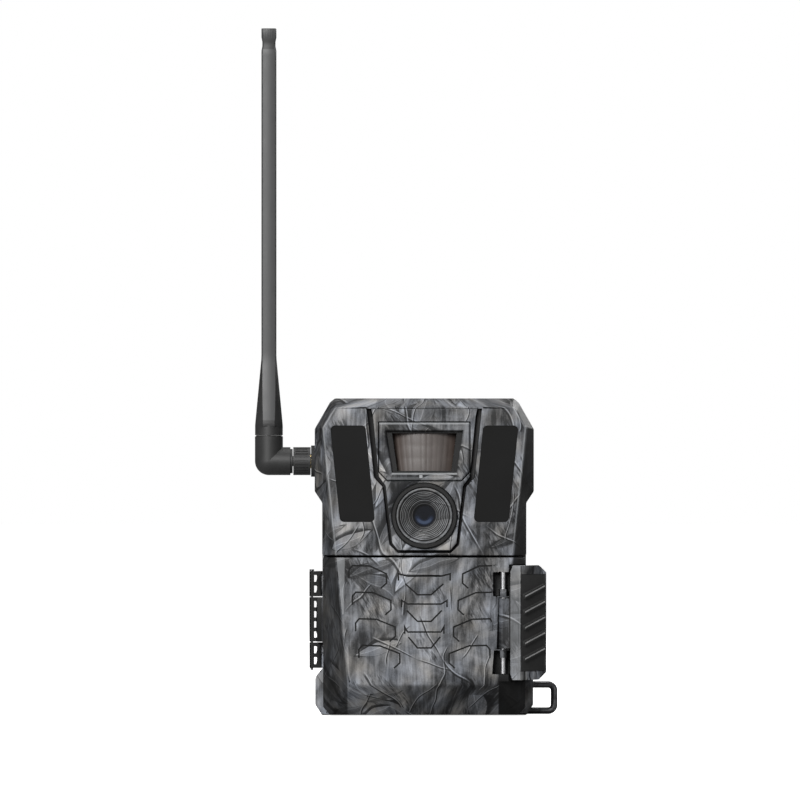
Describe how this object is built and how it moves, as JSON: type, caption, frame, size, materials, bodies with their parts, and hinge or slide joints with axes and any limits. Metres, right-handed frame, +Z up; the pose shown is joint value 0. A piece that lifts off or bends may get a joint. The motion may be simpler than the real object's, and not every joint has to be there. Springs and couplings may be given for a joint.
{
  "type": "trail camera",
  "caption": "Camouflaged trail camera with a hinged lower door, side latch, motion and infrared windows, tree saddle back and whip antenna on an elbow.",
  "frame": {"origin": "mouth of the tripod thread, in the middle of the flat bottom face", "axes": "+Z up, the lens looks along -Y, +X is to the right of someone looking at the lens, where the latch is"},
  "size_m": [0.1341, 0.0788, 0.3042],
  "materials": {
    "camo_shell": "satin moulded plastic with a printed camouflage film",
    "camo_trim": "satin moulded plastic with a printed camouflage film",
    "black_plastic": "fine grained black plastic",
    "grey_plastic": "grained dark grey plastic",
    "aerial_plastic": "satin black plastic",
    "black_rubber": "matt rubber",
    "seal_rubber": "silicone",
    "ir_filter": "satin near-black infrared filter",
    "fresnel_plastic": "milky polyethylene",
    "glass_black": "coated glass",
    "clear_window": "clear plastic",
    "lcd": "dark display",
    "steel": "brushed",
    "dark_steel": "blackened steel",
    "brass": "turned",
    "gold_plate": "gold plated",
    "nickel": "nickel plate",
    "circuit_board": "green solder mask",
    "white_board": "white solder mask",
    "led_lens": "clear epoxy",
    "cell_jacket": "plastic sleeve",
    "flex": "polyimide",
    "lead_jacket": "thin coaxial lead"
  },
  "bodies": {
    "case": {"rear_shell": "camo_shell", "front_housing": "camo_shell", "centre_pod": "camo_trim", "pir_frame": "camo_trim", "lens_hood": "camo_trim", "lens_ring": "black_plastic", "pir_shroud": "black_plastic", "pir_lens": "fresnel_plastic", "pir_sensor": "nickel", "pir_board": "circuit_board", "ir_window_left": "ir_filter", "ir_window_right": "ir_filter", "ir_boards": "white_board", "ir_leds": "led_lens", "lens_glass": "glass_black", "lens_barrel": "black_plastic", "image_board": "circuit_board", "lock_loop": "dark_steel", "tripod_insert": "brass", "hinge_pin": "dark_steel", "inner_chassis": "grey_plastic", "key_domes": "steel", "control_board": "circuit_board", "lcd_window": "clear_window", "lcd_panel": "lcd", "power_switch": "nickel", "inner_screws": "steel", "service_board": "circuit_board", "memory_card_socket": "nickel", "sim_card_socket": "nickel", "usb_port": "nickel", "battery_tray": "black_plastic", "battery_cells": "cell_jacket", "battery_contacts": "nickel", "main_board": "circuit_board", "modem_can": "nickel", "ribbon_cable": "flex", "housing_seal": "seal_rubber", "door_gasket": "seal_rubber", "housing_screws": "steel", "antenna_boss": "black_rubber", "antenna_jack": "gold_plate", "antenna_lead": "lead_jacket"},
    "door": {"door": "camo_shell", "door_liner": "grey_plastic", "latch_pin": "steel"},
    "latch": {"latch_lever": "camo_trim", "latch_grip": "black_rubber"},
    "antenna": {"antenna_elbow": "aerial_plastic", "antenna_mast": "aerial_plastic", "antenna_element": "brass"},
    "antenna_nut": {"antenna_collar": "aerial_plastic"},
    "power_slider": {"power_knob": "black_plastic"},
    "memory_card": {"memory_card": "cell_jacket"},
    "sim_card": {"sim_card": "gold_plate"},
    "key_ok": {"key_ok": "black_rubber"},
    "key_up": {"key_up": "black_rubber"},
    "key_down": {"key_down": "black_rubber"},
    "key_left": {"key_left": "black_rubber"},
    "key_right": {"key_right": "black_rubber"}
  },
  "joints": [
    {"name": "door_hinge", "type": "hinge", "parent": "case", "child": "door", "pos_m": [-0.0497, -0.0082, 0.04], "axis": [0, 0, -1], "range_deg": [0, 120]},
    {"name": "latch_pivot", "type": "hinge", "parent": "door", "child": "latch", "pos_m": [0.0347, -0.0364, 0.041], "axis": [0, 0, -1], "range_deg": [0, 100]},
    {"name": "antenna_aim", "type": "hinge", "parent": "case", "child": "antenna", "pos_m": [-0.0555, 0.006, 0.1122], "axis": [1, 0, 0], "range_deg": [-90, 90]},
    {"name": "antenna_nut_spin", "type": "hinge", "parent": "case", "child": "antenna_nut", "pos_m": [-0.054, 0.006, 0.1122], "axis": [1, 0, 0], "continuous": true},
    {"name": "power_slide", "type": "slide", "parent": "case", "child": "power_slider", "axis": [0, 0, 1], "range_m": [0, 0.0042]},
    {"name": "memory_card_slide", "type": "slide", "parent": "case", "child": "memory_card", "axis": [0, -1, 0], "range_m": [0, 0.012]},
    {"name": "sim_card_slide", "type": "slide", "parent": "case", "child": "sim_card", "axis": [0, -1, 0], "range_m": [0, 0.012]},
    {"name": "key_ok_press", "type": "slide", "parent": "case", "child": "key_ok", "axis": [0, 1, 0], "range_m": [0, 0.0004], "stiffness_N_per_m": 800},
    {"name": "key_up_press", "type": "slide", "parent": "case", "child": "key_up", "axis": [0, 1, 0], "range_m": [0, 0.0004], "stiffness_N_per_m": 800},
    {"name": "key_down_press", "type": "slide", "parent": "case", "child": "key_down", "axis": [0, 1, 0], "range_m": [0, 0.0004], "stiffness_N_per_m": 800},
    {"name": "key_left_press", "type": "slide", "parent": "case", "child": "key_left", "axis": [0, 1, 0], "range_m": [0, 0.0004], "stiffness_N_per_m": 800},
    {"name": "key_right_press", "type": "slide", "parent": "case", "child": "key_right", "axis": [0, 1, 0], "range_m": [0, 0.0004], "stiffness_N_per_m": 800}
  ]
}
